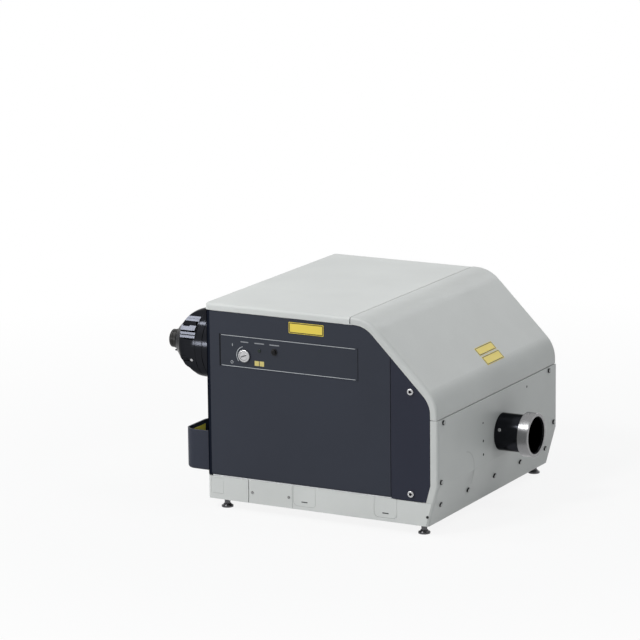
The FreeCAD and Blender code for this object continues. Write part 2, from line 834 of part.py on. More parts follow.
def make_fiber_box():
    outer = box(-box_reach, 0, box_y0, box_y1, box_z0, box_z1)
    outer = outer.makeFillet(box_corner_r, upright_edges(outer, -box_reach))
    low = [e for e in outer.Edges if near(e.BoundBox.ZMax, box_z0) and e.CenterOfMass.x < -0.1]
    outer = outer.makeFillet(box_bottom_r, low)
    w = box_wall
    inner = box(-box_reach + w, 0, box_y0 + w, box_y1 - w, box_z0 + w, box_z1 + 1)
    inner = inner.makeFillet(box_corner_r - w, upright_edges(inner, w - box_reach))
    back = box(-1.5, 0, box_y0 + w, box_y1 - w, box_z0 + w, box_z1)
    back = back.cut(rod(fiber_hole_r, V(-5, fiber_y, fiber_z), X, 10))
    return fuse(outer.cut(inner), back)


def make_fiber_socket():
    """Bulkhead fibre connector: threaded barrel outside, flange on the panel, ferrule sleeve inside."""
    inner = sheet + socket_wall * 3
    barrel = rod(fiber_barrel_r, V(inner, fiber_y, fiber_z), -X, inner + fiber_reach)
    flange = rod(fiber_nut_r, V(-1.5, fiber_y, fiber_z), -X, 2.5)
    return fuse(barrel, flange).cut(rod(ferrule_r, V(-20, fiber_y, fiber_z), X, 40))


# Fasteners

def side_x(z):
    """Outer face of the right side panel at a height."""
    lean = math.atan2(base_inset, kink_h)
    kink_z = kink_h - side_step * math.tan(lean / 2)
    return body_w + side_step - max(0.0, kink_z - z) * math.tan(lean)


def side_screw_places():
    lean = math.atan2(base_inset, kink_h)
    tilted = V(math.cos(lean), 0, -math.sin(lean))
    seam_z = side_seam_z - tongue_screw_drop
    upright = ((end_screws[0], seam_z), (body_d - end_screws[1], seam_z),
               (kink_screw_inset, kink_h + kink_screw_rise[0]),
               (body_d - kink_screw_inset, kink_h + kink_screw_rise[1]))
    pitch = (body_d - low_screw_inset - low_screw_back) / (low_screws - 1)
    sloped = [(low_screw_inset + pitch * i, low_screw_z) for i in range(low_screws)]
    return ([(V(side_x(z), y, z), X) for y, z in upright]
            + [(V(side_x(z), y, z), tilted) for y, z in sloped])


def left_screw_places():
    back = body_d - left_screw_back
    rows = ((left_screw_y, (left_screw_y + back) / 2, back), (left_screw_y, (left_screw_y + back) / 2, back),
            (camera_side_y, (camera_side_y + back) / 2, back))
    return [(V(0, y, z + rail_h / 2), -X) for z, row in zip(left_rail_zs, rows) for y in row]


def side_screw_shanks(gap):
    return [rod(cap_shank_r + gap, at - axis * (cap_shank_l + 0.5), axis, cap_shank_l + 5)
            for at, axis in side_screw_places()]


def left_screw_shanks(gap):
    return [rod(cap_shank_r + gap, at - axis * (cap_shank_l + 0.5), axis, cap_shank_l + 5)
            for at, axis in left_screw_places()]


def base_screw_places():
    """Small screws in the base strip: two in the access plate and one in the side panel's flange."""
    plate = [V(x, 0, base_screw_z) for x in (access_x0 + base_screw_inset, access_x1 - base_screw_inset)]
    return plate + [V(flange_screw[0], 0, flange_screw[1])]


def make_cover_screws():
    places = side_screw_places() + left_screw_places()
    caps = [screw(at, axis, cap_screw_r, cap_screw_h, cap_shank_r, cap_shank_l) for at, axis in places]
    small = [screw(at, -Y, small_screw_r, small_screw_h, small_shank_r, small_shank_l)
             for at in base_screw_places()]
    return solids_of(caps + small)


def make_base_plates():
    """Access plate and the small blanking plate in the strip below the dark covers."""
    access = box(access_x0, access_x1, 0, sheet, 0, strip_h - seam)
    for at in base_screw_places():
        access = access.cut(rod(small_shank_r + shank_room, at - Y, Y, 5))
    gap = 0.2
    blank = box(blank_x0 + gap, blank_x1 - gap, 0, sheet, blank_z0 + gap, blank_z1 - gap)
    return solids_of([access, blank])


# Feet

def make_foot_pad(x, y):
    base = V(x, y, -foot_h)
    disc = rod(pad_r, base, Z, 2.0)
    cone = Part.makeCone(pad_r - 1, pad_neck_r, pad_h - 2.0, base + Z * 2.0, Z)
    socket = rod(stud_r + run_gap, base + Z * (pad_h - stud_socket), Z, stud_socket + 1)
    return disc.fuse(cone).cut(socket)


def make_foot_stud(x, y):
    low = -foot_h + pad_h - stud_socket
    stud = rod(stud_r, V(x, y, low), Z, stud_top - low)
    flat = box(x - stud_r, x + stud_r, y - 0.5, y + 0.5, stud_top - 1.5, stud_top + 1)
    return stud.cut(flat)


# Optics inside

def make_optics_deck():
    x1 = body_w - deck_right
    y1 = body_d - deck_inset
    deck = box(rail_t + 12, x1, deck_inset, y1, deck_z - deck_t, deck_z)
    for x in (rail_t + 12 + deck_post_inset, x1 - deck_post_inset):
        for y in (deck_inset + deck_post_inset, y1 - deck_post_inset):
            deck = deck.fuse(rod(deck_post_r, V(x, y, floor_t), Z, deck_z - deck_t - floor_t + 1))
    for i in (1, 2, 3):
        for y in (y1 - 2 * deck_post_inset, y1 - deck_post_inset):
            deck = deck.cut(rod(deck_hole_r, V(deck_post_inset + deck_hole_pitch * i, y, 0), Z, 2 * deck_z))
    return deck.removeSplitter()


disk_y = port_y + disk_offset
disk_z = beam_z + disk_offset
lens_disk_x = scan_x - disk_gap / 2 - disk_t
pin_disk_x = scan_x + disk_gap / 2


def make_disk(x, rings):
    """Thin scan disk with its clear band left as a raised coated ring between two lands."""
    at = V(x, disk_y, disk_z)
    disk = pipe(disk_r, hub_web_r, at, X, disk_t)
    for radius in rings:
        disk = disk.cut(pipe(radius + disk_groove_w, radius, at - X, X, disk_groove_t))
    return disk


def make_disk_hub():
    hub = rod(hub_r, V(lens_disk_x + disk_t, disk_y, disk_z), X, disk_gap)
    web = rod(hub_web_r, V(lens_disk_x - disk_clamp_t, disk_y, disk_z), X,
              disk_gap + 2 * (disk_t + disk_clamp_t))
    hub = hub.fuse(web)
    for i in range(6):
        turn = math.radians(60 * i)
        at = V(lens_disk_x + disk_t - 1, disk_y + hub_screw_pitch_r * math.cos(turn),
               disk_z + hub_screw_pitch_r * math.sin(turn))
        hub = hub.cut(rod(hub_screw_r, at, X, disk_gap + 2))
    shaft = rod(shaft_r, V(lens_disk_x - disk_shaft_l + 4, disk_y, disk_z), X, disk_shaft_l)
    clamps = [rod(hub_r, V(x, disk_y, disk_z), X, disk_clamp_t)
              for x in (lens_disk_x - disk_clamp_t, pin_disk_x + disk_t)]
    return hub.fuse([shaft] + clamps).removeSplitter()


def make_disk_motor():
    face = lens_disk_x - motor_gap - bracket_t
    motor = rod(motor_r, V(face - motor_l, disk_y, disk_z), X, motor_l)
    rims = [e for e in motor.Edges if e.isClosed()]
    motor = motor.makeChamfer(1.5, rims)
    boss = rod(motor_boss_r, V(face, disk_y, disk_z), X, bracket_t + 2)
    well = rod(shaft_r + run_gap, V(face - motor_boss_r, disk_y, disk_z), X, motor_l)
    return motor.fuse(boss).cut(well)


def make_motor_bracket():
    face = lens_disk_x - motor_gap - bracket_t
    back = face - motor_l * 0.65
    y0 = disk_y - bracket_half
    y1 = disk_y + bracket_reach
    plate = box(face, face + bracket_t, y0, y1, deck_z, disk_z + bracket_top)
    foot = box(back, face + bracket_t, y0, y1, deck_z, deck_z + foot_plate_t)
    rib = box(back + 2, face, y1 - bracket_rib_t, y1, deck_z + foot_plate_t, disk_z - motor_r - 4)
    bracket = fuse(plate, foot, rib)
    return bracket.cut(rod(motor_boss_r, V(face - 5, disk_y, disk_z), X, bracket_t + 20))


def make_dichroic_block():
    """Slider with three cube cells one above the other, each with a window on two sides."""
    height = dichroic_pitch * dichroic_cells
    x0 = scan_x - dichroic_t / 2
    y0 = port_y - dichroic_w / 2
    z0 = beam_z - height / 2
    block = box(x0, x0 + dichroic_t, y0, y0 + dichroic_w, z0, z0 + height)
    for i in range(dichroic_cells):
        middle = z0 + dichroic_pitch * (i + 0.5)
        block = block.cut(rod(dichroic_window_r, V(x0 - 1, port_y, middle), X, dichroic_t + 2))
        block = block.cut(rod(dichroic_window_r, V(scan_x, y0 - 1, middle), Y, dichroic_w / 2))
    return block


def make_dichroic_mirrors():
    plates = []
    half = dichroic_window_r
    for i in range(dichroic_cells):
        middle = beam_z + dichroic_pitch * (i - (dichroic_cells - 1) / 2)
        plate = box(scan_x - half - 0.2, scan_x + half + 0.2, port_y - dichroic_plate_t / 2,
                    port_y + dichroic_plate_t / 2, middle - half, middle + half)
        plate.rotate(V(scan_x, port_y, middle), Z, 45)
        rim = rod(half, V(scan_x - dichroic_t / 2, port_y, middle), X, dichroic_t)
        plates.append(plate.common(rim))
    return solids_of(plates)


def make_dichroic_rail():
    y1 = port_y - dichroic_w / 2 - fit_gap
    x0 = scan_x - dichroic_t / 2
    top = beam_z + dichroic_pitch * (dichroic_cells / 2 + 1)
    rail = box(x0, x0 + dichroic_t, y1 - rail_plate_t, y1, deck_z, top)
    foot = box(x0 - rail_plate_t, x0 + dichroic_t + rail_plate_t, y1 - rail_foot_l, y1, deck_z,
               deck_z + foot_plate_t)
    motor = rod(slider_motor_r, V(scan_x, y1 - rail_foot_l / 2, deck_z + foot_plate_t), Z, slider_motor_l)
    rail = fuse(rail, foot, motor)
    return rail.cut(rod(dichroic_window_r, V(scan_x, y1 - rail_foot_l - 6, beam_z), Y, rail_foot_l + 16))


def make_mirror_mount(z, down):
    """Corner mirror block: the beam enters one face and leaves the next one over the 45 degree face."""
    half = mirror_size / 2
    block = box(scan_x - half, scan_x + half, camera_y - half, camera_y + half, z - half, z + half)
    bore = mirror_bore_r
    if down:
        wedge = [V(scan_x - half - 1, camera_y - half - 1, z - half - 1),
                 V(scan_x - half - 1, camera_y - half - 1, z + half + 1),
                 V(scan_x - half - 1, camera_y + half * 0.2, z - half - 1)]
        block = block.cut(Part.Face(Part.makePolygon(wedge + wedge[:1])).extrude(X * (mirror_size + 2)))
        block = block.cut(rod(bore, V(scan_x, camera_y - 2, z), Y, half + 5))
        return block.cut(rod(bore, V(scan_x, camera_y, z - 2), Z, half + 5))
    wedge = [V(scan_x + half + 1, camera_y - half - 1, z + half + 1),
             V(scan_x + half + 1, camera_y - half - 1, z - half * 0.2),
             V(scan_x - half * 0.2, camera_y - half - 1, z + half + 1)]
    block = block.cut(Part.Face(Part.makePolygon(wedge + wedge[:1])).extrude(Y * (mirror_size + 2)))
    block = block.cut(rod(bore, V(scan_x, camera_y, z - half - 1), Z, half + 3))
    return block.cut(rod(bore, V(scan_x - half - 1, camera_y, z), X, half + 3))


def make_mirror_column():
    half = mirror_size / 2
    x0 = scan_x + half
    column = box(x0, x0 + column_t, camera_y - half, camera_y + half, deck_z, camera_z + half * 0.4)
    foot = box(x0, x0 + column_foot_l, camera_y - half, camera_y + half, deck_z, deck_z + foot_plate_t)
    shelf = box(scan_x - half, x0, camera_y - half, camera_y + half, deck_z, beam_z - half)
    if beam_z - half - deck_z > 3 * foot_plate_t:
        shelf = shelf.cut(box(scan_x - half + foot_plate_t, x0 - foot_plate_t / 2, camera_y - half - 1,
                              camera_y + half + 1, deck_z + foot_plate_t, beam_z - half - foot_plate_t))
    return fuse(column, foot, shelf, make_mirror_mount(beam_z, True))


def make_scan_relay():
    barrel = pipe(relay_r - 3, relay_bore_r, V(scan_x, relay_y0, beam_z), Y, relay_l)
    y0 = relay_y0 + 8
    y1 = y0 + relay_stand_l
    half = relay_stand_w / 2
    stand = box(scan_x - half, scan_x + half, y0, y1, deck_z, beam_z - relay_bore_r - 2)
    foot = box(scan_x - 2 * half, scan_x + 2 * half, y0, y1, deck_z, deck_z + thin_foot_t)
    bore = rod(relay_bore_r, V(scan_x, relay_y0 - 1, beam_z), Y, 2 * relay_l)
    return fuse(barrel.fuse(stand), foot).cut(bore)


def make_camera_relay():
    at = V(sheet, camera_y, camera_z)
    barrel = fuse(rod(relay_r + 11, at, X, relay_flange_t), rod(relay_r + 4, at, X, relay_boss_l),
                  rod(relay_r, at, X, relay_tube_l))
    return barrel.cut(rod(camera_spigot_r + run_gap, at - X, X, camera_spigot_l)).cut(
        rod(lens_seat_r, at, X, relay_tube_l + 20))


def make_lenses():
    """Lens elements, each seated in its barrel's bore."""
    def lens(centre, axis, radius, thickness):
        body = rod(radius, centre - axis * (thickness / 2), axis, thickness)
        bulge = Part.makeSphere(radius * 2.2, centre - axis * (radius * 2.2 - thickness / 2))
        return body.common(bulge)
    scan_ys = (relay_y0 + scan_lens_t, relay_y0 + relay_l - scan_lens_t - 2)
    return solids_of([
        lens(V(scan_x, scan_ys[0], beam_z), -Y, relay_bore_r, scan_lens_t),
        lens(V(scan_x, scan_ys[1], beam_z), Y, relay_bore_r, scan_lens_t),
        lens(V(camera_lens_xs[0], camera_y, camera_z), -X, lens_seat_r, camera_lens_t),
        lens(V(camera_lens_xs[1], camera_y, camera_z), X, lens_seat_r, camera_lens_t),
    ])


wheel_turn = math.radians(wheel_angle)
wheel_x = scan_x + wheel_pitch_r * math.cos(wheel_turn)
wheel_z = beam_z + wheel_pitch_r * math.sin(wheel_turn)


def wheel_cell_places():
    for i in range(wheel_cells):
        turn = wheel_turn + math.pi + 2 * math.pi * i / wheel_cells
        yield wheel_x + wheel_pitch_r * math.cos(turn), wheel_z + wheel_pitch_r * math.sin(turn)


def make_filter_wheel():
    face = wheel_y - wheel_t / 2
    wheel = rod(wheel_r + 1, V(wheel_x, face, wheel_z), Y, wheel_t)
    hub = rod(wheel_hub_r, V(wheel_x, face - 2, wheel_z), Y, wheel_t + 2)
    shaft = rod(wheel_shaft_r, V(wheel_x, wheel_y, wheel_z), Y, wheel_t / 2 + wheel_shaft_l)
    wheel = wheel.fuse(hub).fuse(shaft)
    for x, z in wheel_cell_places():
        wheel = wheel.cut(rod(filter_r - filter_lip, V(x, face - 2, z), Y, wheel_t + 4))
        wheel = wheel.cut(rod(filter_r, V(x, face + 2, z), Y, wheel_t))
    return wheel


def make_emission_filters():
    return solids_of([rod(filter_r, V(x, wheel_y - wheel_t / 2 + 2, z), Y, filter_t)
                      for x, z in wheel_cell_places()])


def make_wheel_motor():
    y0 = wheel_y + wheel_t / 2 + 2
    half = wheel_motor_half
    motor = box(wheel_x - half, wheel_x + half, y0, y0 + wheel_motor_l, wheel_z - half, wheel_z + half)
    motor = motor.makeChamfer(3, [e for e in motor.Edges if near(e.BoundBox.YLength, wheel_motor_l)])
    stand = box(wheel_x - 5, wheel_x + half, y0 + 4, y0 + 10, deck_z, wheel_z - half + 2)
    y1 = y0 + wheel_motor_l - 4
    foot = box(wheel_x - 5, wheel_x + half + 10, y0 + 4, y1, deck_z, deck_z + thin_foot_t)
    well = rod(wheel_shaft_r + run_gap, V(wheel_x, y0 - 5, wheel_z), Y, wheel_shaft_l + 6)
    return fuse(motor, stand, foot).cut(well)


def make_collimator():
    at = V(sheet, fiber_y, fiber_z)
    bore = collimator_r - 3
    return fuse(pipe(collimator_r, bore, at, X, collimator_l), pipe(collimator_r + 5, bore, at, X, 5))


def make_turning_mirror():
    x, y, z = periscope_x, fiber_y, fiber_z
    half = steer_half
    block = box(x - half, x + half, y - half + 2, y + half + 2, deck_z, z + half)
    low = deck_z + foot_plate_t + 2
    wedge = [V(x + half + 1, y - half + 1, low), V(x + half + 1, y + 4, low), V(x - 2, y - half + 1, low)]
    block = block.cut(Part.Face(Part.makePolygon(wedge + wedge[:1])).extrude(Z * (z + half)))
    return block.cut(rod(steer_bore_r, V(x - half - 1, y, z), X, half + 3)).cut(
        rod(steer_bore_r, V(x, y - 2, z), Y, 2 * half))


def make_periscope():
    x, y = periscope_x, port_y
    half = steer_half
    block = box(x - half, x + half, y - half, y + half, deck_z, beam_z + half)
    block = block.cut(rod(steer_bore_r, V(x, y - half - 1, fiber_z), Y, half + 3))
    block = block.cut(rod(steer_bore_r, V(x, y, fiber_z), Z, beam_z - fiber_z))
    return block.cut(rod(steer_bore_r, V(x, y, beam_z), X, half + 5))


def make_beam_shaper():
    bore = shaper_r - 4
    barrel = pipe(shaper_r, bore, V(shaper_x, port_y, beam_z), X, shaper_l)
    x0 = shaper_x + 12
    x1 = x0 + shaper_stand_l
    stand = box(x0, x1, port_y - 8, port_y + 8, deck_z, beam_z - bore)
    foot = box(x0, x1, port_y - 18, port_y + 12, deck_z, deck_z + thin_foot_t)
    return fuse(barrel, stand, foot).cut(rod(bore, V(shaper_x - 1, port_y, beam_z), X, shaper_l + 5))


def make_shutter_blade():
    pivot = V(shutter_x, port_y + blade_arm, beam_z)
    paddle = rod(blade_r, V(shutter_x, port_y, beam_z), X, blade_t)
    arm = box(shutter_x, shutter_x + blade_t, port_y, pivot.y, beam_z - 5, beam_z + 5)
    hub = rod(6, pivot, X, 3.0)
    pin = blade_pin_r - run_gap
    return fuse(paddle, arm, hub).cut(rod(pin, pivot - X, X, 10)).fuse(rod(pin, pivot, X, 12))


def make_shutter_motor():
    pivot = V(shutter_x + 3.4, port_y + blade_arm, beam_z)
    can = rod(shutter_can_r, pivot, X, shutter_can_l)
    stand = box(pivot.x + 5, pivot.x + 15, pivot.y - 6, pivot.y + 6, deck_z, beam_z - 6)
    foot = box(pivot.x, pivot.x + shutter_can_l, pivot.y - 10, pivot.y + 10, deck_z, deck_z + thin_foot_t)
    return fuse(can, stand, foot).cut(rod(blade_pin_r, pivot - X, X, 14))


# Electronics

def make_control_board():
    y1 = body_d - sheet - rail_t - board_off
    back = y1 - board_t
    x1 = body_w - board_right
    z1 = body_h - board_top
    parts = [box(board_x0, x1, back, y1, board_z0, z1)]
    z0 = board_z0 + 2 * chip_pitch / 1.8
    for i in range(6):
        x = board_x0 + 20 + chip_pitch * i
        parts.append(box(x, x + chip_w, back - chip_h, back, z0, z0 + chip_w))
    for i in range(4):
        x = board_x0 + 20 + plug_pitch * i
        parts.append(box(x, x + plug_w, back - plug_h, back, z1 - 25, z1 - 13))
        parts.append(rod(capacitor_r, V(x + plug_w / 2, back, z1 - 50), -Y, capacitor_h))
    for x in (board_x0 + board_post_inset, x1 - board_post_inset):
        for z in (board_z0 + board_post_inset, z1 - board_post_inset):
            parts.append(rod(board_post_r, V(x, y1, z), Y, body_d - sheet - y1))
    return fuse(*parts)


def make_control_socket():
    at = V(socket_x, body_d, socket_z)
    flange = rod(socket_r, at, Y, socket_flange_t)
    ring_r = socket_r - 3
    shell_ring = pipe(ring_r, ring_r - socket_wall, at, Y, rear_proud)
    body = rod(socket_r - 2.2, V(socket_x, body_d - socket_depth, socket_z), Y, socket_depth + 1)
    pins = []
    for i in range(5):
        turn = math.radians(72 * i)
        place = at + V(pin_pitch_r * math.cos(turn), 0, pin_pitch_r * math.sin(turn))
        pins.append(rod(pin_r, place, Y, rear_proud - 2))
    return fuse(flange, shell_ring, body, *pins)


def make_signal_socket():
    x0 = signal_x - signal_w / 2
    z0 = socket_z - signal_h / 2
    x1 = x0 + signal_w
    z1 = z0 + signal_h
    plate = box(x0 - signal_ear, x1 + signal_ear, body_d, body_d + signal_plate_t, z0, z1)
    ears = box(x0 + 2, x1 - 2, body_d - socket_depth + 4, body_d + 6, z0 + 1.6, z1 - 1.6)
    well = box(x0 + 3, x1 - 3, body_d + signal_plate_t, body_d + 7, z0 + 2.6, z1 - 2.6)
    return fuse(plate, ears).cut(well)


def build():
    feet = [(x, y) for y in foot_ys for x in foot_xs]
    for number, (x, y) in enumerate(feet, 1):
        nodes["foot_pad_%d" % number] = make_foot_pad(x, y)
        nodes["foot_stud_%d" % number] = make_foot_stud(x, y)
    nodes.update({
        "base_pan": make_base_pan(),
        "chassis_frame": make_chassis(),
        "left_side_panel": make_left_panel(),
        "right_side_panel": make_side_panel(),
        "back_panel": make_back_panel(),
        "top_cover": make_top_cover(),
        "slope_cover": make_slope_cover(),
        "front_cover": make_front_cover(),
        "service_cover": make_service_cover(),
        "service_cover_screws": make_service_screws(),
        "base_cover_plates": make_base_plates(),
        "transport_caps": make_transport_caps(),
        "control_plate": make_control_plate(),
        "key_switch": make_key_switch(),
        "key_plug": make_key_plug(),
        "emission_lamp": make_emission_lamp(),
        "button_switch": make_button_switch(),
        "shutter_button": make_shutter_button(),
        "microscope_port_tube": make_port_tube(),
        "microscope_port_ring": make_port_ring(),
        "camera_port_flange": make_camera_flange(),
        "camera_port_collar": make_camera_collar(),
        "camera_port_head": make_camera_head(),
        "camera_mount_ring": make_mount_ring(),
        "camera_port_screws": make_camera_screws(),
        "fiber_inlet_box": make_fiber_box(),
        "fiber_socket": make_fiber_socket(),
        "cover_screws": make_cover_screws(),
        "optics_deck": make_optics_deck(),
        "microlens_disk": make_disk(lens_disk_x, (20, 52)),
        "pinhole_disk": make_disk(pin_disk_x, (22, 50)),
        "disk_hub": make_disk_hub(),
        "disk_motor": make_disk_motor(),
        "motor_bracket": make_motor_bracket(),
        "dichroic_block": make_dichroic_block(),
        "dichroic_mirrors": make_dichroic_mirrors(),
        "dichroic_rail": make_dichroic_rail(),
        "upper_mirror_mount": make_mirror_mount(camera_z, False),
        "mirror_column": make_mirror_column(),
        "scan_relay_barrel": make_scan_relay(),
        "camera_relay_barrel": make_camera_relay(),
        "relay_lenses": make_lenses(),
        "filter_wheel": make_filter_wheel(),
        "emission_filters": make_emission_filters(),
        "wheel_motor": make_wheel_motor(),
        "fiber_collimator": make_collimator(),
        "beam_steering_blocks": solids_of([make_turning_mirror(), make_periscope()]),
        "beam_shaper": make_beam_shaper(),
        "shutter_blade": make_shutter_blade(),
        "shutter_motor": make_shutter_motor(),
        "control_board": make_control_board(),
        "rear_sockets": solids_of([make_control_socket(), make_signal_socket()]),
    })


build()
os.makedirs("parts", exist_ok=True)
for name, shape in nodes.items():
    shape.translate(shift)
    shape.exportStep("parts/" + name + ".step")
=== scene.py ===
"""Looks of the spinning disk confocal scanner unit: paints, blank plates, prints, small screws, studio and camera."""
import json
import math

import bmesh
import bpy
from mathutils import Matrix, Vector


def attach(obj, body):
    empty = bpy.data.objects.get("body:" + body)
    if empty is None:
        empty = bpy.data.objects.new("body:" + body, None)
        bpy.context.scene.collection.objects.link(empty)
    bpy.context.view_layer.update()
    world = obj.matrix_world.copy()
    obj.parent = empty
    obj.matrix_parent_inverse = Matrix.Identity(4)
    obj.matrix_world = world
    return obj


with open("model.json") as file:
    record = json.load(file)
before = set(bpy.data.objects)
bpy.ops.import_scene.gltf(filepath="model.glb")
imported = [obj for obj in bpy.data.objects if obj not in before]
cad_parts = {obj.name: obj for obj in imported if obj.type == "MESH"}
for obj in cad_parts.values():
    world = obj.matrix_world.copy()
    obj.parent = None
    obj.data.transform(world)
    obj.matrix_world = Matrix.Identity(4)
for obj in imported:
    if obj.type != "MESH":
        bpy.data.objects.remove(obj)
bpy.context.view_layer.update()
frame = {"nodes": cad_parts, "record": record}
nodes = frame["nodes"]

# The housing's own millimetres: left side x = 0, front y = 0, underside of the base z = 0.
SHIFT = Vector((-160.25, -188.4, 13.0))
SLOPE_SUM = 522.5     # x + z on the outer face of the slope
SLOPE_Z = 199.4       # height of the slope's blank plates
COVER_LOW = 33.2      # the front cover's lower and upper edges, just inside
COVER_TOP = 263.2
SIDE_X = 352.0        # outer face of the right side panel
BACK_Y = 372.0        # outer face of the back panel
EDGE_SHADE_START = 5.0      # where the painted shade on the front cover's left edge gives way
EDGE_SHADE_END = 7.2
PEEL_DEPTH = 0.00006  # metres of orange peel in the powder coat


def at(x, y, z):
    return (Vector((x, y, z)) + SHIFT) / 1000.0


# Materials

def new_material(name):
    mat = bpy.data.materials.new(name)
    mat.use_nodes = True
    tree = mat.node_tree
    shader = tree.nodes["Principled BSDF"]
    return mat, tree, shader


def noise(tree, coords, scale, detail=3.0, rough=0.5):
    node = tree.nodes.new("ShaderNodeTexNoise")
    node.inputs["Scale"].default_value = scale
    node.inputs["Detail"].default_value = detail
    node.inputs["Roughness"].default_value = rough
    tree.links.new(coords, node.inputs["Vector"])
    return node.outputs["Fac"]


def ramp(tree, value, stops):
    node = tree.nodes.new("ShaderNodeValToRGB")
    items = node.color_ramp.elements
    items[0].position, items[0].color = stops[0][0], (*stops[0][1], 1)
    items[1].position, items[1].color = stops[-1][0], (*stops[-1][1], 1)
    for place, colour in stops[1:-1]:
        item = items.new(place)
        item.color = (*colour, 1)
    tree.links.new(value, node.inputs["Fac"])
    return node.outputs["Color"]


def span(tree, value, low, high):
    node = tree.nodes.new("ShaderNodeMapRange")
    node.inputs["To Min"].default_value = low
    node.inputs["To Max"].default_value = high
    tree.links.new(value, node.inputs["Value"])
    return node.outputs["Result"]


def bump(tree, shader, height, depth):
    node = tree.nodes.new("ShaderNodeBump")
    node.inputs["Distance"].default_value = depth
    node.inputs["Strength"].default_value = 1.0
    tree.links.new(height, node.inputs["Height"])
    tree.links.new(node.outputs["Normal"], shader.inputs["Normal"])


def shade(colour, factor):
    return tuple(c * factor for c in colour)


def object_coords(tree, scale=(1, 1, 1)):
    node = tree.nodes.new("ShaderNodeTexCoord")
    mapping = tree.nodes.new("ShaderNodeMapping")
    mapping.inputs["Scale"].default_value = scale
    tree.links.new(node.outputs["Object"], mapping.inputs["Vector"])
    return mapping.outputs["Vector"]


def paint(name, colour, rough=0.5, grain=1400.0, depth=0.00006, spread=0.06, specular=0.5):
    """Powder coat: fine orange peel, cloudy tone, worn sheen."""
    mat, tree, shader = new_material(name)
    coords = object_coords(tree)
    clouds = noise(tree, coords, 9.0, 4.0)
    peel = noise(tree, coords, grain, 2.0, 0.6)
    tree.links.new(ramp(tree, clouds, [(0.25, shade(colour, 1 - spread)), (0.75, shade(colour, 1 + spread))]),
                   shader.inputs["Base Color"])
    tree.links.new(span(tree, clouds, rough - 0.05, rough + 0.07), shader.inputs["Roughness"])
    shader.inputs["Specular IOR Level"].default_value = specular
    bump(tree, shader, peel, depth)
    return mat


def paint_with_edge_shade(name, colour, edge, rough, specular):
    """Powder coat whose rounded left edge and return are darkened: painted shade where the bend turns away from the
    light.
    """
    mat, tree, shader = new_material(name)
    coords = object_coords(tree)
    clouds = noise(tree, coords, 9.0, 4.0)
    peel = noise(tree, coords, 1400.0, 2.0, 0.6)
    tone = ramp(tree, clouds, [(0.25, shade(colour, 0.94)), (0.75, shade(colour, 1.06))])
    parts = tree.nodes.new("ShaderNodeSeparateXYZ")
    tree.links.new(coords, parts.inputs["Vector"])
    # Painted shade: towards the left side the colour turns to the edge colour
    reach = tree.nodes.new("ShaderNodeMapRange")
    reach.interpolation_type = "SMOOTHSTEP"
    reach.inputs["From Min"].default_value = at(EDGE_SHADE_START, 0, 0).x
    reach.inputs["From Max"].default_value = at(EDGE_SHADE_END, 0, 0).x
    tree.links.new(parts.outputs["X"], reach.inputs["Value"])
    mix = tree.nodes.new("ShaderNodeMix")
    mix.data_type = "RGBA"
    mix.inputs["A"].default_value = (*edge, 1)
    tree.links.new(reach.outputs["Result"], mix.inputs["Factor"])
    tree.links.new(tone, mix.inputs["B"])
    tree.links.new(mix.outputs["Result"], shader.inputs["Base Color"])
    tree.links.new(span(tree, clouds, rough - 0.05, rough + 0.07), shader.inputs["Roughness"])
    shader.inputs["Specular IOR Level"].default_value = specular
    bump(tree, shader, peel, PEEL_DEPTH)
    return mat


def metal(name, colour, rough, stretch=(1, 1, 1), scale=900.0, depth=0.00002, spread=0.15, metallic=1.0,
          specular=0.5, edge=1.0):
    """Machined or anodised metal: fine lines along one axis, uneven sheen."""
    mat, tree, shader = new_material(name)
    lines = noise(tree, object_coords(tree, stretch), scale, 2.0, 0.6)
    clouds = noise(tree, object_coords(tree), 25.0, 3.0)
    tree.links.new(ramp(tree, lines, [(0.3, shade(colour, 1 - spread)), (0.7, shade(colour, 1 + spread))]),
                   shader.inputs["Base Color"])
    tree.links.new(span(tree, clouds, rough - 0.06, rough + 0.06), shader.inputs["Roughness"])
    shader.inputs["Metallic"].default_value = metallic
    shader.inputs["Specular IOR Level"].default_value = specular
    shader.inputs["Specular Tint"].default_value = (edge, edge, edge, 1)
    bump(tree, shader, lines, depth)
    return mat


def plastic(name, colour, rough=0.5, grain=900.0, depth=0.00004, specular=0.5):
    return paint(name, colour, rough, grain, depth, 0.05, specular)


def glassy(name, colour):
    mat, tree, shader = new_material(name)
    film = noise(tree, object_coords(tree), 30.0, 2.0)
    tree.links.new(ramp(tree, film, [(0.3, shade(colour, 0.92)), (0.7, colour)]), shader.inputs["Base Color"])
    shader.inputs["Roughness"].default_value = 0.05
    shader.inputs["Transmission Weight"].default_value = 1.0
    shader.inputs["IOR"].default_value = 1.5
    return mat


def board(name):
    """Circuit board: solder mask with copper tracks showing through."""
    mat, tree, shader = new_material(name)
    coords = object_coords(tree)
    cells = tree.nodes.new("ShaderNodeTexVoronoi")
    cells.feature = "DISTANCE_TO_EDGE"
    cells.inputs["Scale"].default_value = 130.0
    tree.links.new(coords, cells.inputs["Vector"])
    tree.links.new(ramp(tree, cells.outputs["Distance"], [(0.03, (0.05, 0.22, 0.10)), (0.07, (0.012, 0.09, 0.04))]),
                   shader.inputs["Base Color"])
    shader.inputs["Roughness"].default_value = 0.35
    return mat


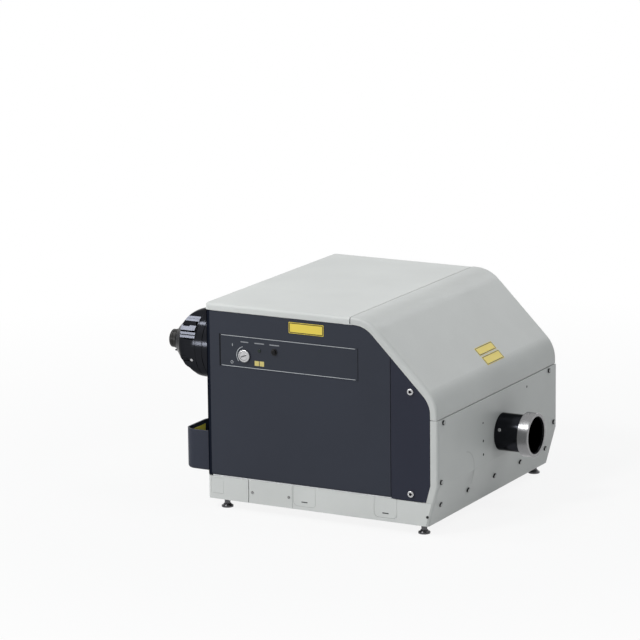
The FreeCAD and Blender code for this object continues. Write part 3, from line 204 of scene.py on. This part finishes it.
LIGHT = (0.62, 0.63, 0.615)
# Painted shade for the front cover's rounded left edge; the cover's paint itself is one colour
EDGE_SHADE = (0.0045, 0.0055, 0.0095)
dark_paint = paint("dark_paint", (0.028, 0.032, 0.047), 0.45, 1400.0, 0.00006, 0.06, 0.16)
front_paint_shaded_edge = paint_with_edge_shade("front_paint_shaded_edge", (0.028, 0.032, 0.045), EDGE_SHADE, 0.45, 0.16)
dark_plate = paint("dark_plate", (0.027, 0.031, 0.043), 0.40, 1800.0, 0.00003, 0.06, 0.16)
service_paint = paint("service_paint", (0.019, 0.0215, 0.036), 0.45, 1400.0, 0.00006, 0.06, 0.16)
top_paint = paint("top_paint", LIGHT, 0.42, specular=0.3)
# Painted shade: the parts in the side_paint slot take the top's paint 10% darker, for faces turned away from the
# lamps
side_paint = paint("side_paint", shade(LIGHT, 0.90), 0.40, specular=0.3)
base_paint = paint("base_paint", LIGHT, 0.45, specular=0.3)
black_anodised = metal("black_anodised", (0.018, 0.019, 0.0225), 0.16, (8, 1, 1), 400.0, 0.0000005, 0.15, edge=0.5)
# Dark film for the front cover's left bend: painted shade
edge_shade_metal = metal("edge_shade_metal", (0.0075, 0.0095, 0.0155), 0.34, (1, 1, 1), 900.0, 0.000004, 0.1, edge=0.12)
silver_ring = metal("silver_ring", (0.23, 0.23, 0.235), 0.26, (40, 1, 1), 300.0, 0.00002)
plain_aluminium = metal("plain_aluminium", (0.55, 0.56, 0.57), 0.38, (1, 25, 1), 200.0)
bright_steel = metal("bright_steel", (0.46, 0.46, 0.47), 0.24, (1, 1, 12), 500.0)
dark_steel = metal("dark_steel", (0.09, 0.09, 0.095), 0.28, (1, 1, 14), 600.0)
black_steel = metal("black_steel", (0.010, 0.010, 0.011), 0.38, (1, 1, 1), 900.0, 0.00001, 0.2, 0.0, 0.3)
black_plastic = plastic("black_plastic", (0.010, 0.010, 0.011), 0.5, specular=0.25)
button_plastic = plastic("button_plastic", (0.004, 0.004, 0.005), 0.3, specular=0.15)
lamp_lens = plastic("lamp_lens", (0.012, 0.022, 0.018), 0.15, 300.0, 0.00001, 0.3)
board_green = board("board_green")
coated_glass = glassy("coated_glass", (0.78, 0.84, 0.88))
chrome_disk = metal("chrome_disk", (0.42, 0.44, 0.48), 0.12, (1, 1, 1), 3000.0, 0.000005)
yellow_film = plastic("yellow_film", (0.78, 0.60, 0.06), 0.38, 500.0, 0.00002)
black_film = plastic("black_film", (0.010, 0.010, 0.010), 0.40, 500.0, 0.00002, 0.2)
pale_film = plastic("pale_film", (0.60, 0.50, 0.16), 0.42, 500.0, 0.00002)
inlet_film_brightened = plastic("inlet_film_brightened", (0.90, 0.78, 0.10), 0.42, 500.0, 0.00002)
print_white = plastic("print_white", (0.46, 0.48, 0.50), 0.55, 1200.0, 0.00001)
print_grey = plastic("print_grey", (0.24, 0.25, 0.27), 0.55, 1200.0, 0.00001)
# Darker copies of the side paint: painted shade on the cap screw heads and on the rim of the blanked port
side_shade = plastic("side_shade", shade(LIGHT, 0.72), 0.42, specular=0.3)
rim_shade = plastic("rim_shade", shade(LIGHT, 0.78), 0.42, specular=0.3)
seam_grey = plastic("seam_grey", (0.20, 0.205, 0.20), 0.6, 1200.0, 0.00001, 0.2)
screw_grey = metal("screw_grey", (0.26, 0.26, 0.26), 0.35, (1, 1, 1), 900.0, 0.00001)
shadow_gap = plastic("shadow_gap", (0.004, 0.004, 0.005), 0.8, specular=0.1)
mount_black = metal("mount_black", (0.022, 0.021, 0.020), 0.34, (30, 1, 1), 500.0, 0.00001, 0.2, 0.0, 0.2)

by_slot = {
    "dark_paint": dark_paint, "dark_plate": dark_plate, "top_paint": top_paint, "side_paint": side_paint,
    "base_paint": base_paint, "black_anodised": black_anodised, "silver_ring": silver_ring,
    "plain_aluminium": plain_aluminium, "bright_steel": bright_steel, "dark_steel": dark_steel,
    "black_steel": black_steel, "black_plastic": black_plastic, "button_plastic": button_plastic,
    "lamp_lens": lamp_lens, "board_green": board_green, "coated_glass": coated_glass, "chrome_disk": chrome_disk,
}
slots = {s["node"]: s["material_slot"] for s in frame["record"]["subparts"]}
for name, node in nodes.items():
    own = {"service_cover": service_paint, "front_cover": front_paint_shaded_edge, "camera_mount_ring": mount_black}
    material = own.get(name) or by_slot[slots[name]]
    node.data.materials.clear()
    node.data.materials.append(material)


# Pieces

def link(name, bm, material, body="housing"):
    mesh = bpy.data.meshes.new(name)
    bmesh.ops.recalc_face_normals(bm, faces=bm.faces)
    bm.to_mesh(mesh)
    bm.free()
    piece = bpy.data.objects.new(name, mesh)
    bpy.context.scene.collection.objects.link(piece)
    mesh.materials.append(material)
    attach(piece, body)


class Plane:
    """A flat place on the housing, with its own across and up directions and outward normal."""

    def __init__(self, origin, across, up):
        self.origin = Vector(origin)
        self.across = Vector(across).normalized()
        self.up = Vector(up).normalized()
        self.out = self.across.cross(self.up)

    def point(self, u, v, lift=0.0):
        p = self.origin + self.across * u + self.up * v + self.out * lift
        return at(*p)


FRONT = Plane((0, 0, 0), (1, 0, 0), (0, 0, 1))


def round_outline(w, h, r, steps=5):
    points = []
    for cx, cy, start in ((w / 2 - r, h / 2 - r, 0), (-w / 2 + r, h / 2 - r, 90),
                          (-w / 2 + r, -h / 2 + r, 180), (w / 2 - r, -h / 2 + r, 270)):
        for i in range(steps + 1):
            a = math.radians(start + 90 * i / steps)
            points.append((cx + r * math.cos(a), cy + r * math.sin(a)))
    return points


def solid_of(plane, rings, lifts):
    """Closed solid through rings of (u, v) points at rising lifts above a plane."""
    bm = bmesh.new()
    rows = [[bm.verts.new(plane.point(u, v, lift)) for u, v in ring] for ring, lift in zip(rings, lifts)]
    for low, high in zip(rows, rows[1:]):
        for i in range(len(low)):
            j = (i + 1) % len(low)
            bm.faces.new((low[i], low[j], high[j], high[i]))
    bm.faces.new(rows[0][::-1])
    bm.faces.new(rows[-1])
    return bm


def plate(name, plane, u, v, w, h, material, lift=0.0, thick=0.3, r=0.8):
    """Thin label plate with rounded corners and a softened rim."""
    def ring(inset):
        return [(u + a, v + b) for a, b in round_outline(w - 2 * inset, h - 2 * inset, max(r - inset, 0.1))]
    soft = min(thick * 0.4, 0.12)
    bm = solid_of(plane, [ring(0), ring(0), ring(soft)], [lift - 0.05, lift + thick - soft, lift + thick])
    link(name, bm, material)


def stroke(name, plane, points, width, material, lift=0.0, thick=0.06, closed=False):
    """Flat line of even width through (u, v) points: print, seams and painted shade lines."""
    pts = [Vector(p) for p in points]
    n = len(pts)
    left = []
    right = []
    for i, p in enumerate(pts):
        before = pts[i - 1] if closed or i else None
        after = pts[(i + 1) % n] if closed or i < n - 1 else None
        a = (p - before).normalized() if before is not None else (after - p).normalized()
        b = (after - p).normalized() if after is not None else a
        na = Vector((-a.y, a.x))
        nb = Vector((-b.y, b.x))
        mid = (na + nb).normalized()
        reach = width / 2 / max(mid.dot(na), 0.3)
        left.append(p + mid * reach)
        right.append(p - mid * reach)
    bm = bmesh.new()
    rows = []
    for l, r_ in zip(left, right):
        rows.append([bm.verts.new(plane.point(q.x, q.y, h)) for q, h in
                     ((l, lift - 0.03), (l, lift + thick), (r_, lift + thick), (r_, lift - 0.03))])
    pairs = list(zip(rows, rows[1:])) + ([(rows[-1], rows[0])] if closed else [])
    for a, b in pairs:
        for i in range(4):
            j = (i + 1) % 4
            bm.faces.new((a[i], a[j], b[j], b[i]))
    if not closed:
        bm.faces.new(rows[0][::-1])
        bm.faces.new(rows[-1])
    link(name, bm, material)


def arc_points(u, v, r, a0, a1, steps=18):
    return [(u + r * math.cos(math.radians(a0 + (a1 - a0) * i / steps)),
             v + r * math.sin(math.radians(a0 + (a1 - a0) * i / steps))) for i in range(steps + 1)]


def bordered(name, plane, u, v, w, h, lift=0.0):
    """Yellow blank plate with a dark border line."""
    plate(name, plane, u, v, w, h, yellow_film, lift, 0.3, 1.0)
    ring = round_outline(w - 2.6, h - 2.6, 0.8, 3)
    stroke(name + "_border", plane, [(u + a, v + b) for a, b in ring], 1.1, black_film, lift + 0.3, 0.04, True)


def bent_strip(name, profile, z0, z1, material, thick=0.12):
    """Thin film that follows a bend, from (x, y) points with outward directions, between two heights."""
    bm = bmesh.new()
    rows = []
    for (x, y), (nx, ny) in profile:
        rows.append([bm.verts.new(at(x + nx * t, y + ny * t, z)) for t, z in
                     ((-0.05, z0), (thick, z0), (thick, z1), (-0.05, z1))])
    for a, b in zip(rows, rows[1:]):
        for i in range(4):
            j = (i + 1) % 4
            bm.faces.new((a[i], a[j], b[j], b[i]))
    bm.faces.new(rows[0])
    bm.faces.new(rows[-1][::-1])
    link(name, bm, material)


def disc(name, plane, r, low, high, material, body="housing"):
    """Round button whose top edge is softened."""
    soft = min(0.2, r / 4)
    rings = [arc_points(0, 0, q, 0, 345, 23) for q in (r, r, r - soft)]
    link(name, solid_of(plane, rings, [low, high - soft / 2, high]), material, body)


# Blank plates on the front and on the slope
bordered("front_blank_plate", FRONT, 155.6, 251.35, 53.0, 15.3)
SLOPE = Plane((SLOPE_SUM - SLOPE_Z, 203.5, SLOPE_Z), (0, 1, 0), (-1, 0, 1))
bordered("slope_blank_plate_a", SLOPE, 0, 0.0, 52.0, 13.3)
bordered("slope_blank_plate_b", SLOPE, 0.5, -15.9, 52.0, 14.4)

# Painted shade: a dark film round the front cover's left bend, standing in for the shade on the bend that faces away
# from the light
bend = [((0.0, 6.0), (-1.0, 0.0))]
for i in range(11):
    a = math.radians(180 + 9 * i)
    bend.append(((4 + 4 * math.cos(a), 4 + 4 * math.sin(a)), (math.cos(a), math.sin(a))))
bend.append(((6.3, 0.0), (0.0, -1.0)))
bent_strip("cover_edge_shade_band", bend, COVER_LOW, COVER_TOP, edge_shade_metal)

# Control plate print: two rules, the key's turning arc and its end marks; the dark lines at the plate's left and
# right recess edges are painted shadow
PANEL = Plane((0, 0.2, 0), (1, 0, 0), (0, 0, 1))
stroke("panel_line_high", PANEL, [(24.5, 231.4), (229.4, 231.4)], 0.75, print_white)
stroke("panel_line_low", PANEL, [(24.5, 189.3), (229.4, 189.3)], 0.75, print_white)
stroke("panel_recess_shadow_left", PANEL, [(22.3, 188.2), (22.3, 232.8)], 1.5, shadow_gap)
stroke("panel_recess_shadow_right", PANEL, [(233.2, 188.2), (233.2, 232.8)], 0.7, shadow_gap)
stroke("key_arc", PANEL, arc_points(60.5, 205.5, 12.4, 104, 222), 0.8, print_white)
stroke("key_mark_on", PANEL, [(41.6, 217.2), (41.6, 220.8)], 0.8, print_white)
stroke("key_mark_off", PANEL, arc_points(40.6, 195.0, 1.8, 0, 340, 20), 0.6, print_white, closed=True)
for name, u, w in (("key_bar", 60.4, 12.0), ("lamp_bar", 83.4, 15.0), ("button_bar", 106.4, 15.0)):
    plate(name, PANEL, u, 224.3, w, 1.5, print_grey, 0, 0.05, 0.4)
for i, u in enumerate((79.2, 87.0)):
    plate("small_blank_%d" % (i + 1), PANEL, u, 196.6, 6.8, 6.8, pale_film, 0, 0.12, 0.5)

# Blank labels on the inner wall of the fibre inlet, seen through its open top; their yellow is a real label colour,
# set brighter than the other labels as painted light against the shade inside the inlet
INLET = Plane((-42.5, 0, 0), (0, 1, 0), (0, 0, 1))
plate("inlet_blank_label", INLET, 51.5, 78.2, 33.0, 13.0, inlet_film_brightened, 0, 0.2, 0.8)

# Base strip: the access plate's far seam, its screw heads, and black plates on the lift slots of the transport caps
# as painted shade of the slots
stroke("access_seam", FRONT, [(131.2, 0.8), (131.2, 32.4)], 0.5, seam_grey)
for i, x in enumerate((133.3 + 16.75, 256.4 + 16.75)):
    plate("cap_slot_shade_%d" % (i + 1), FRONT, x, 11.1, 9.3, 1.4, black_film, 0, 0.08, 0.3)

for i, x in enumerate((69.2, 125.8)):
    disc("access_screw_face_%d" % (i + 1), Plane((x, -0.7, 15.2), (1, 0, 0), (0, 0, 1)), 1.7, -0.1, 0.08,
         screw_grey)

# Dark discs in the heads of the service screws: painted shade standing in for their sockets
for i, (x, z) in enumerate(((311.7, 182.0), (311.7, 42.3))):
    disc("screw_socket_shade_%d" % (i + 1), Plane((x, -2.6, z), (1, 0, 0), (0, 0, 1)), 2.2, -0.05, 0.05, shadow_gap,
         body="service_panel")

# Dark discs over the side panel's small screw holes: painted shade of the blind sockets
for i, (y, z, r) in enumerate(((275.8, 133.3, 1.8), (136.2, 112.95, 1.5), (137.0, 87.75, 1.9), (137.5, 68.75, 1.9))):
    disc("side_socket_shade_%d" % (i + 1), Plane((SIDE_X, y, z), (0, 1, 0), (0, 0, 1)), r, -0.6, 0.05, shadow_gap)

# Cap screw heads of the side panel, topped in a darker copy of the side paint as painted shade, and a faint darker
# arc, painted shade on the rim of a blanked round port
TILT = (0.9656, 0, -0.2599)
faces = [((SIDE_X, y, z), (1, 0, 0)) for y, z in ((15.5, 140.79), (348.0, 140.79), (8.0, 60.99), (364.0, 62.99))]
faces += [((344.4, y, 26.6), TILT) for y in (21.5, 104.12, 186.75, 269.38, 352.0)]
for i, (place, out) in enumerate(faces):
    top = Plane(place, (0, 1, 0), (-out[2], 0, out[0]))
    disc("cap_screw_face_%d" % (i + 1), top, 2.75, 1.8, 2.06, side_shade)
RIM = Plane((SIDE_X, 82.9, 59.0), (0, 1, 0), (0, 0, 1))
stroke("blank_port_rim_shade", RIM, arc_points(0, 0, 25.6, -55, 85, 40), 2.0, rim_shade, 0, 0.04)

# Back panel: small screws along its rim
for i, (x, z) in enumerate(((9.0, 12.0), (9.0, 132.0), (9.0, 262.0), (118.0, 262.0), (214.0, 262.0), (302.0, 205.0),
                            (341.0, 132.0), (336.0, 12.0), (240.0, 12.0), (118.0, 12.0))):
    disc("back_screw_%d" % (i + 1), Plane((x, BACK_Y, z), (-1, 0, 0), (0, 0, 1)), 2.6, -0.2, 1.0, screw_grey)

# Set screw in the root of the port tube
lean = math.radians(18.6)
ROOT = Plane((359.7, 196.0 - 26.0 * math.cos(lean), 87.954 + 26.0 * math.sin(lean)),
             (1, 0, 0), (0, math.sin(lean), math.cos(lean)))
disc("tube_set_screw", ROOT, 2.3, -0.4, 0.25, bright_steel)


# Studio

def stage_plane(name, size, z):
    mesh = bpy.data.meshes.new(name)
    bm = bmesh.new()
    steps = 8
    grid = [[bm.verts.new((size * (i / steps - 0.5), size * (j / steps - 0.5), z)) for j in range(steps + 1)]
            for i in range(steps + 1)]
    for i in range(steps):
        for j in range(steps):
            bm.faces.new((grid[i][j], grid[i + 1][j], grid[i + 1][j + 1], grid[i][j + 1]))
    bm.to_mesh(mesh)
    bm.free()
    floor = bpy.data.objects.new(name, mesh)
    bpy.context.scene.collection.objects.link(floor)
    return floor


def seen_background(tree):
    """1 where a camera, glossy or transmission ray sees the surface."""
    path = tree.nodes.new("ShaderNodeLightPath")
    total = path.outputs["Is Camera Ray"]
    for other in ("Is Glossy Ray", "Is Transmission Ray"):
        node = tree.nodes.new("ShaderNodeMath")
        node.operation = "MAXIMUM"
        tree.links.new(total, node.inputs[0])
        tree.links.new(path.outputs[other], node.inputs[1])
        total = node.outputs[0]
    return total


floor = stage_plane("floor", 60.0, -0.0005)
mat, tree, shader = new_material("floor_white")
shader.inputs["Base Color"].default_value = (0.70, 0.70, 0.70, 1)
shader.inputs["Roughness"].default_value = 0.9
shader.inputs["Specular IOR Level"].default_value = 0.1
glow = tree.nodes.new("ShaderNodeEmission")
glow.inputs["Strength"].default_value = 1.0
scaled = tree.nodes.new("ShaderNodeMath")
scaled.operation = "MULTIPLY"
away = tree.nodes.new("ShaderNodeVectorMath")
away.operation = "LENGTH"
tree.links.new(object_coords(tree), away.inputs[0])
far = tree.nodes.new("ShaderNodeMapRange")
far.inputs["From Min"].default_value = 0.5
far.inputs["From Max"].default_value = 1.3
far.inputs["To Min"].default_value = 0.88
far.inputs["To Max"].default_value = 1.0
tree.links.new(away.outputs["Value"], far.inputs["Value"])
tree.links.new(far.outputs["Result"], scaled.inputs[1])
tree.links.new(seen_background(tree), scaled.inputs[0])
mix = tree.nodes.new("ShaderNodeMixShader")
tree.links.new(scaled.outputs[0], mix.inputs[0])
tree.links.new(shader.outputs[0], mix.inputs[1])
tree.links.new(glow.outputs[0], mix.inputs[2])
tree.links.new(mix.outputs[0], tree.nodes["Material Output"].inputs["Surface"])
floor.data.materials.append(mat)

scene = bpy.context.scene
scene.view_settings.view_transform = "Standard"
world = bpy.data.worlds.new("studio")
scene.world = world
world.use_nodes = True
tree = world.node_tree
back = tree.nodes["Background"]
back.inputs["Color"].default_value = (0.90, 0.97, 1.0, 1)
back.inputs["Strength"].default_value = 0.30
white = tree.nodes.new("ShaderNodeBackground")
white.inputs["Color"].default_value = (1, 1, 1, 1)
white.inputs["Strength"].default_value = 1.0
mix = tree.nodes.new("ShaderNodeMixShader")
tree.links.new(seen_background(tree), mix.inputs[0])
tree.links.new(back.outputs[0], mix.inputs[1])
tree.links.new(white.outputs[0], mix.inputs[2])
tree.links.new(mix.outputs[0], tree.nodes["World Output"].inputs["Surface"])


def lamp(name, place, target, size, power):
    data = bpy.data.lights.new(name, "AREA")
    data.shape = "RECTANGLE"
    data.size = size[0]
    data.size_y = size[1]
    data.energy = power
    light = bpy.data.objects.new(name, data)
    scene.collection.objects.link(light)
    light.location = place
    way = Vector(target) - Vector(place)
    light.rotation_euler = way.to_track_quat("-Z", "Y").to_euler()


lamp("key", (-1.2, -2.6, 3.2), (0, 0, 0.15), (0.8, 0.65), 70)
lamp("overhead", (-1.68, -0.83, 2.76), (-0.2, -0.16, 0.24), (0.5, 0.22), 11)
lamp("right", (1.5, 0.3, 3.0), (0, 0, 0.2), (1.0, 1.0), 19)
lamp("left", (-2.9, -0.8, 1.5), (0, 0, 0.2), (0.8, 0.7), 12)
lamp("back", (0.4, 3.4, 1.8), (0, 0, 0.2), (1.2, 1.2), 12)
lamp("low", (-1.85, -3.4, 0.52), (0, 0, 0.15), (0.3, 0.6), 20)

# Camera
YAW = math.radians(-28.48)
PITCH = math.radians(12.45)
ROLL = math.radians(-0.63)
forward = Vector((math.sin(YAW) * math.cos(PITCH), math.cos(YAW) * math.cos(PITCH), -math.sin(PITCH)))
right = Vector((math.cos(YAW), -math.sin(YAW), 0))
up = right.cross(forward)
right, up = (right * math.cos(ROLL) + up * math.sin(ROLL), up * math.cos(ROLL) - right * math.sin(ROLL))
turn = Matrix((right, up, -forward)).transposed().to_4x4()
data = bpy.data.cameras.new("camera")
data.lens = 196.3
data.sensor_width = 36.0
data.clip_end = 100.0
camera = bpy.data.objects.new("camera", data)
scene.collection.objects.link(camera)
camera.matrix_world = Matrix.Translation((2.18075, -4.1774, 1.2810)) @ turn
scene.camera = camera
